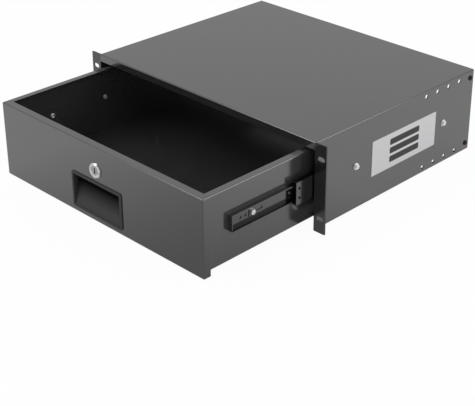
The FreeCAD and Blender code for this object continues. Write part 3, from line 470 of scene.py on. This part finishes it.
def turned_rings(mesh, profile, segments, matrix):
    """Faces of a piece turned about its own Z axis from (radius, height) points."""
    rings = []
    for radius, height in profile:
        if radius < 1e-9:
            rings.append([mesh.verts.new(matrix @ Vector((0, 0, height)))] * segments)
            continue
        ring = []
        for step in range(segments):
            angle = 2 * math.pi * step / segments
            point = Vector((radius * math.cos(angle), radius * math.sin(angle), height))
            ring.append(mesh.verts.new(matrix @ point))
        rings.append(ring)
    for lower, upper in zip(rings, rings[1:]):
        for step in range(segments):
            after = (step + 1) % segments
            corners = [lower[step], lower[after], upper[after], upper[step]]
            unique = list(dict.fromkeys(corners))
            if len(unique) > 2:
                mesh.faces.new(unique)


def cross_head(mesh, radius, height, matrix):
    """Pan head with a cross recess, standing on its own Z axis."""
    segments, rings = 48, 14
    wide, reach, deep = radius * 0.17, radius * 0.62, height * 0.62
    edge = 0.55
    rows = []
    for ring in range(1, rings + 1):
        distance = radius * ring / rings
        row = []
        for step in range(segments):
            angle = 2 * math.pi * step / segments
            x, y = distance * math.cos(angle), distance * math.sin(angle)
            dome = math.sqrt(max(0, 1 - (distance / radius) ** 2))
            rise = height * (edge + (1 - edge) * dome)
            off = min(abs(x), abs(y))
            along = max(abs(x), abs(y))
            if off < wide and along < reach:
                slope = min(1.0, (wide - off) / (wide * 0.5), (reach - along) / (reach * 0.5))
                rise -= deep * slope
            row.append(mesh.verts.new(matrix @ Vector((x, y, rise))))
        rows.append(row)
    centre = mesh.verts.new(matrix @ Vector((0, 0, height - deep)))
    for step in range(segments):
        after = (step + 1) % segments
        mesh.faces.new([centre, rows[0][step], rows[0][after]])
        for inner, outer in zip(rows, rows[1:]):
            mesh.faces.new([inner[step], outer[step], outer[after], inner[after]])
    base = []
    for step in range(segments):
        angle = 2 * math.pi * step / segments
        point = Vector((radius * math.cos(angle), radius * math.sin(angle), 0))
        base.append(mesh.verts.new(matrix @ point))
    for step in range(segments):
        after = (step + 1) % segments
        mesh.faces.new([rows[-1][step], base[step], base[after], rows[-1][after]])
    mesh.faces.new(base)


def threaded_shank(mesh, radius, length, pitch, matrix):
    """Shank with a ridged surface, running down its own Z axis."""
    profile = [(0, 0)]
    turns = max(2, int(length / pitch))
    for turn in range(turns):
        top = -length * turn / turns
        profile += [(radius, top - length / turns * 0.25),
                    (radius * 0.86, top - length / turns * 0.75)]
    profile += [(radius * 0.8, -length), (0, -length)]
    turned_rings(mesh, profile, 20, matrix)


def facing(point, direction):
    """Matrix whose Z axis points along direction, at a point."""
    turn = Vector((0, 0, 1)).rotation_difference(Vector(direction))
    return Matrix.Translation(point) @ turn.to_matrix().to_4x4()


def skin(mesh, rows):
    """Faces between closed rows of corners, and over both ends."""
    for before, after in zip(rows, rows[1:]):
        for index in range(len(before)):
            beside = (index + 1) % len(before)
            mesh.faces.new([before[index], before[beside], after[beside], after[index]])
    mesh.faces.new(rows[0])
    mesh.faces.new(rows[-1])


def rounded_bar(mesh, centre, length, height, thick, radius, steps=6):
    """Printed bar with rounded corners, lying in a YZ plane and raised along X."""
    outline = []
    for corner, (across, up) in enumerate(((1, 1), (-1, 1), (-1, -1), (1, -1))):
        for step in range(steps + 1):
            angle = math.pi / 2 * (corner + step / steps)
            outline.append((across * (length / 2 - radius) + radius * math.cos(angle),
                            up * (height / 2 - radius) + radius * math.sin(angle)))
    levels = ((0, 1, 1), (thick * 0.6, 1, 1), (thick, 1 - thick / length, 1 - thick / height))
    skin(mesh, [[mesh.verts.new(centre + Vector((x, y * scale_y, z * scale_z)))
                 for y, z in outline] for x, scale_y, scale_z in levels])


# ---------------------------------------------------------------- operators
class RACKDRAWER_OT_sheet_metal(bpy.types.Operator):
    """Powder-coat the case, the ears, the rear rails, the tray and the front, with the tray
    painted lighter and the ears painted darker
    """

    bl_idname = "rackdrawer.sheet_metal"
    bl_label = "Coat Sheet Metal"

    def execute(self, context):
        finish(("case_shell", "rear_top_rail", "rear_bottom_rail", "drawer_front"),
               coat_material("powder_coat", 1.0))
        # Painted light: the tray gets a lighter copy of the powder coat, 1.6 times its colour,
        # with a little less gloss.
        finish(("drawer_tray",), coat_material("tray_coat_painted_light", 1.6, specular=0.88))
        # Painted shade: the ears get a darker copy of the powder coat, half its colour, with
        # weaker gloss.
        finish(("left_ear", "right_ear"), coat_material("ear_coat_painted_shade", 0.5, specular=0.7, ior=1.6))
        return {"FINISHED"}


class RACKDRAWER_OT_slides(bpy.types.Operator):
    """Coat the slides' members, cages and bumpers, with painted shade on the members' level
    faces
    """

    bl_idname = "rackdrawer.slides"
    bl_label = "Finish Slides"

    def execute(self, context):
        metal = context.scene.rack_metal
        coat = grained_material("slide_coat", metal.slide_colour, 0.14, grain=0.0012,
                                depth=0.000002, specular=1.0, ior=1.65)
        # Painted shade: the members' level faces get a darker colour and weaker gloss than the
        # upright ones.
        paint_shade_by_mask(coat, painted_level_shade_group(), metal.slide_colour, 0.4, Least=0.12)
        cage = grained_material("cage_steel", (0.3, 0.3, 0.31), 0.35, metallic=1.0)
        bumper = grained_material("bumper_plastic", context.scene.rack_plastic.bumper_colour,
                                  0.5, grain=0.0005)
        for side in SIDES:
            finish([f"{side}_{name}_member" for name in ("cabinet", "middle", "drawer")], coat)
            finish([f"{side}_{name}_cage" for name in ("outer", "inner")], cage)
            finish([f"{side}_bumper"], bumper)
        return {"FINISHED"}


class RACKDRAWER_OT_balls(bpy.types.Operator):
    """Make the bearing balls round"""

    bl_idname = "rackdrawer.balls"
    bl_label = "Make Bearing Balls"

    def execute(self, context):
        rings = context.scene.rack_pieces.ball_rings
        steel = grained_material("ball_steel", (0.74, 0.74, 0.75), 0.08, grain=0.0005,
                                 depth=0.000002, metallic=1.0)
        for side in SIDES:
            for cage in ("outer", "inner"):
                name = f"{side}_{cage}_balls"
                mesh = bmesh.new()
                for low, high in loose_boxes(name):
                    radius = (high.z - low.z) / 2
                    spot = Matrix.Translation((low + high) / 2)
                    bmesh.ops.create_uvsphere(mesh, u_segments=rings * 2, v_segments=rings,
                                              radius=radius, matrix=spot)
                balls = new_piece(f"{side}_{cage}_bearing_balls", mesh, steel,
                                  f"{side}_{cage}_cage_body")
                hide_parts(name)
        return {"FINISHED"}


class RACKDRAWER_OT_screws(bpy.types.Operator):
    """Make the pan-head screws with their cross recesses and threads"""

    bl_idname = "rackdrawer.screws"
    bl_label = "Make Pan-Head Screws"

    def execute(self, context):
        pitch = context.scene.rack_pieces.thread_pitch
        black = grained_material("blackened_steel", (0.02, 0.02, 0.021), 0.3,
                                 grain=0.0005, metallic=0.6)
        # Node, piece, body, slot, material, 1 for heads that point outward and -1 for inward,
        # and the head's height and the shank's radius as shares of the head's radius.
        kinds = (
            ("drawer_slide_screws", "drawer_side_screws", "drawer", "zinc_steel",
             zinc_material(), -1, 0.526, 0.526),
            ("rear_rail_screws", "rear_corner_screws", "case", "black_screw_steel", black, 1,
             0.55, 0.5),
        )
        for node, name, body, slot, material, heading, head_share, shank_share in kinds:
            mesh = bmesh.new()
            for low, high in loose_boxes(node):
                middle = (low + high) / 2
                outward = math.copysign(1, middle.x)
                radius = (high.z - low.z) / 2
                head = radius * head_share
                direction = Vector((outward * heading, 0, 0))
                length = high.x - low.x - head
                seat = middle + direction * (length + head) / 2 - direction * head
                spot = facing(seat, direction)
                cross_head(mesh, radius, head, spot)
                threaded_shank(mesh, radius * shank_share, length, pitch, spot)
            screws = new_piece(name, mesh, material, body)
            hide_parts(node)
        return {"FINISHED"}


class RACKDRAWER_OT_fasteners(bpy.types.Operator):
    """Plate the countersunk screws, the nuts and the cam's screw"""

    bl_idname = "rackdrawer.fasteners"
    bl_label = "Plate Fasteners"

    def execute(self, context):
        finish(("case_slide_screws", "case_slide_nuts", "drawer_slide_nuts", "cam_screw"),
               zinc_material())
        return {"FINISHED"}


class RACKDRAWER_OT_pull(bpy.types.Operator):
    """Give the recessed pull its moulded plastic, with painted shade deeper in its recess"""

    bl_idname = "rackdrawer.pull"
    bl_label = "Finish Pull"

    def execute(self, context):
        colour = context.scene.rack_plastic.pull_colour
        plastic = grained_material("pull_plastic", colour, 0.19, grain=0.0005,
                                   depth=0.000004, specular=1.0, ior=1.95)
        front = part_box("drawer_front")[0].y
        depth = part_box("recessed_pull")[1].y - front
        # Painted shade: the pull's colour and gloss darken from a fifth of its depth behind the
        # front to four fifths, and stay darkest beyond.
        paint_shade_by_mask(plastic, recess_painted_shade_group(), colour, 0.15, Face=front + depth * 0.2, Depth=depth * 0.6)
        finish(("recessed_pull",), plastic)
        return {"FINISHED"}


class RACKDRAWER_OT_lock(bpy.types.Operator):
    """Plate the lock and the cam"""

    bl_idname = "rackdrawer.lock"
    bl_label = "Plate Lock"

    def execute(self, context):
        finish(("lock_housing", "lock_nut", "lock_cam"), chrome_material())
        finish(("lock_plug",), grained_material("plug_steel", (0.42, 0.42, 0.43), 0.3,
                                                grain=0.0006, metallic=1.0))
        return {"FINISHED"}


class RACKDRAWER_OT_plate(bpy.types.Operator):
    """Brush the side plate and print its bars"""

    bl_idname = "rackdrawer.plate"
    bl_label = "Finish Side Plate"

    def execute(self, context):
        pieces = context.scene.rack_pieces
        finish(("side_plate",), brushed_material(
            "brushed_plate", context.scene.rack_metal.plate_colour, 0.34, width=0.0007,
            length=0.035, tone_change=0.32))
        ink = grained_material("plate_ink", (0.012, 0.012, 0.012), 0.4, grain=0.0005)
        low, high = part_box("side_plate")
        middle = (low + high) / 2
        length = (high.y - low.y) * pieces.bar_share
        pitch = (high.z - low.z) * 0.25
        thick, radius = 0.00012, pitch * 0.14
        mesh = bmesh.new()
        for index in range(pieces.bar_count):
            z = middle.z + (index - (pieces.bar_count - 1) / 2) * pitch
            rounded_bar(mesh, Vector((high.x, middle.y, z)), length, pitch * 0.7, thick, radius)
        new_piece("plate_bars", mesh, ink, "case", smooth=False)
        return {"FINISHED"}


class RACKDRAWER_OT_keys(bpy.types.Operator):
    """Finish the keys and wind their split ring"""

    bl_idname = "rackdrawer.keys"
    bl_label = "Finish Keys"

    def execute(self, context):
        plastic = grained_material("key_plastic", context.scene.rack_plastic.key_colour, 0.25,
                                   grain=0.0006)
        metal = chrome_material()
        finish(("key_heads",), plastic)
        finish(("key_blades",), metal)
        low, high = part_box("key_ring")
        middle = (low + high) / 2
        wire = (high.z - low.z) / 4
        radius = (high.x - low.x) / 2 - wire
        turns, steps, sides = 2, 96, 10
        mesh = bmesh.new()
        rows = []
        for step in range(steps + 1):
            share = step / steps
            angle = 2 * math.pi * turns * share
            rise = low.z + wire + share * (high.z - low.z - 2 * wire)
            out = Vector((math.cos(angle), math.sin(angle), 0))
            centre = Vector((middle.x, middle.y, rise)) + out * radius
            row = []
            for side in range(sides):
                turn = 2 * math.pi * side / sides
                offset = out * math.cos(turn) * wire + Vector((0, 0, math.sin(turn) * wire))
                row.append(mesh.verts.new(centre + offset))
            rows.append(row)
        skin(mesh, rows)
        ring = new_piece("split_ring", mesh, metal, "drawer")
        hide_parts("key_ring")
        return {"FINISHED"}


class RACKDRAWER_OT_stage(bpy.types.Operator):
    """Lay the floor, light it and set the camera"""

    bl_idname = "rackdrawer.stage"
    bl_label = "Set Stage"

    def execute(self, context):
        settings = context.scene.rack_stage
        self.lay_floor(settings)
        self.light_world(context, settings)
        self.hang_lamps()
        self.set_camera(context, settings)
        context.scene.view_settings.view_transform = "Standard"
        return {"FINISHED"}

    def lay_floor(self, settings):
        """White floor that keeps a faint shadow; to glossy rays its glow is painted darker
        towards a spot, as painted shade in reflections.
        """
        bpy.ops.mesh.primitive_plane_add(size=settings.floor_size,
                                         location=(0, 0, CAD_BOX[0][2] - 0.0005))
        floor = bpy.context.object
        floor.name = "floor"
        material = bpy.data.materials.new("floor_white")
        material.use_nodes = True
        tree = material.node_tree
        tree.nodes.clear()
        output = place(tree.nodes, "ShaderNodeOutputMaterial", 600, 0)
        diffuse = place(tree.nodes, "ShaderNodeBsdfDiffuse", 0, 0, Color=(0.8, 0.8, 0.8, 1))
        white = place(tree.nodes, "ShaderNodeEmission", 0, -200, Color=(1, 1, 1, 1),
                      Strength=1.0)
        path = place(tree.nodes, "ShaderNodeLightPath", -600, 300)
        # Painted shade in reflections: glossy rays see the floor's glow painted darker towards a
        # spot in front of the drawer's right side.
        where = place(tree.nodes, "ShaderNodeNewGeometry", -900, -400).outputs["Position"]
        away = tree.nodes.new("ShaderNodeVectorMath")
        away.operation = "DISTANCE"
        away.location = (-700, -400)
        tree.links.new(where, away.inputs[0])
        away.inputs[1].default_value = settings.painted_shade_spot
        spread = place(tree.nodes, "ShaderNodeMapRange", -450, -400, From_Min=0.06,
                       From_Max=0.44, To_Min=0.18, To_Max=0.88)
        tree.links.new(away.outputs["Value"], spread.inputs["Value"])
        mirrored = place(tree.nodes, "ShaderNodeEmission", 0, -400, Color=(1, 1, 1, 1))
        tree.links.new(spread.outputs["Result"], mirrored.inputs["Strength"])
        glow = tree.nodes.new("ShaderNodeMixShader")
        glow.location = (250, -300)
        tree.links.new(path.outputs["Is Glossy Ray"], glow.inputs["Fac"])
        tree.links.new(white.outputs["Emission"], glow.inputs[1])
        tree.links.new(mirrored.outputs["Emission"], glow.inputs[2])
        clear = math_node(tree, "MAXIMUM", -300, 300, path.outputs["Is Camera Ray"],
                          path.outputs["Is Transmission Ray"])
        share = math_node(tree, "MAXIMUM", 100, 300,
                          math_node(tree, "MULTIPLY", -100, 300, clear, settings.white_share),
                          math_node(tree, "MULTIPLY", -100, 450,
                                    path.outputs["Is Glossy Ray"], settings.mirror_share))
        mix = tree.nodes.new("ShaderNodeMixShader")
        mix.location = (450, 0)
        tree.links.new(share, mix.inputs["Fac"])
        tree.links.new(diffuse.outputs["BSDF"], mix.inputs[1])
        tree.links.new(glow.outputs["Shader"], mix.inputs[2])
        tree.links.new(mix.outputs["Shader"], output.inputs["Surface"])
        floor.data.materials.append(material)

    def light_world(self, context, settings):
        """Even light from all round, seen as white."""
        world = bpy.data.worlds.new("studio")
        context.scene.world = world
        world.use_nodes = True
        tree = world.node_tree
        tree.nodes.clear()
        output = place(tree.nodes, "ShaderNodeOutputWorld", 500, 0)
        sky = place(tree.nodes, "ShaderNodeBackground", 250, 0, Color=(1, 1, 1, 1))
        path = place(tree.nodes, "ShaderNodeLightPath", -600, 300)
        clear = math_node(tree, "MAXIMUM", -300, 300, path.outputs["Is Camera Ray"],
                          path.outputs["Is Transmission Ray"])
        rise = math_node(tree, "MULTIPLY", -100, 300, clear, 1 - settings.world_strength)
        drop = math_node(tree, "MULTIPLY", -100, 100, path.outputs["Is Glossy Ray"],
                         settings.sky_strength - settings.world_strength)
        change = math_node(tree, "ADD", 50, 200, rise, drop)
        level = math_node(tree, "ADD", 150, 0, change, settings.world_strength)
        tree.links.new(level, sky.inputs["Strength"])
        tree.links.new(sky.outputs["Background"], output.inputs["Surface"])

    def hang_lamps(self):
        """Soft lamps over the front left and the rear right."""
        for name, spot, size, power in LAMPS:
            lamp = bpy.data.lights.new(name, "AREA")
            lamp.shape = "DISK"
            lamp.size = size
            lamp.energy = power
            holder = bpy.data.objects.new(name, lamp)
            bpy.context.scene.collection.objects.link(holder)
            holder.location = spot
            holder.rotation_euler = (-Vector(spot)).to_track_quat("-Z", "Y").to_euler()

    def set_camera(self, context, settings):
        """Three-quarter view from the front right, looking down."""
        camera = bpy.data.cameras.new("camera")
        camera.sensor_width = 36
        camera.lens = settings.lens
        camera.shift_x, camera.shift_y = CAMERA_SHIFT
        camera.clip_end = 50
        holder = bpy.data.objects.new("camera", camera)
        context.scene.collection.objects.link(holder)
        holder.location = CAMERA_SPOT
        holder.rotation_euler = [math.radians(angle) for angle in CAMERA_TURN]
        context.scene.camera = holder


class RACKDRAWER_PT_pieces(bpy.types.Panel):
    """Shows the settings and a button for each operator"""

    bl_idname = "RACKDRAWER_PT_pieces"
    bl_label = "Rack Drawer"
    bl_space_type = "VIEW_3D"
    bl_region_type = "UI"
    bl_category = "Rack Drawer"

    def draw(self, context):
        scene = context.scene
        for group, kind in SETTINGS:
            settings = getattr(scene, group)
            box = self.layout.box()
            for name in kind.__annotations__:
                box.prop(settings, name)
        for operator in OPERATORS:
            self.layout.operator(operator.bl_idname)


SETTINGS = (
    ("rack_paint", PaintSettings),
    ("rack_metal", MetalSettings),
    ("rack_plastic", PlasticSettings),
    ("rack_pieces", PieceSettings),
    ("rack_stage", StageSettings),
)
OPERATORS = (
    RACKDRAWER_OT_sheet_metal,
    RACKDRAWER_OT_slides,
    RACKDRAWER_OT_balls,
    RACKDRAWER_OT_screws,
    RACKDRAWER_OT_fasteners,
    RACKDRAWER_OT_pull,
    RACKDRAWER_OT_lock,
    RACKDRAWER_OT_plate,
    RACKDRAWER_OT_keys,
    RACKDRAWER_OT_stage,
)


def register():
    """Add the settings, the operators and the panel."""
    for name, settings in SETTINGS:
        bpy.utils.register_class(settings)
        setattr(bpy.types.Scene, name, bpy.props.PointerProperty(type=settings))
    for operator in OPERATORS:
        bpy.utils.register_class(operator)
    bpy.utils.register_class(RACKDRAWER_PT_pieces)


def unregister():
    """Take the panel, the operators and the settings away."""
    bpy.utils.unregister_class(RACKDRAWER_PT_pieces)
    for operator in reversed(OPERATORS):
        bpy.utils.unregister_class(operator)
    for name, settings in reversed(SETTINGS):
        delattr(bpy.types.Scene, name)
        bpy.utils.unregister_class(settings)


def main():
    """Dress the drawer and set the stage."""
    register()
    bpy.ops.rackdrawer.sheet_metal()
    bpy.ops.rackdrawer.slides()
    bpy.ops.rackdrawer.balls()
    bpy.ops.rackdrawer.screws()
    bpy.ops.rackdrawer.fasteners()
    bpy.ops.rackdrawer.pull()
    bpy.ops.rackdrawer.lock()
    bpy.ops.rackdrawer.plate()
    bpy.ops.rackdrawer.keys()
    bpy.ops.rackdrawer.stage()


if __name__ == "__main__":
    main()
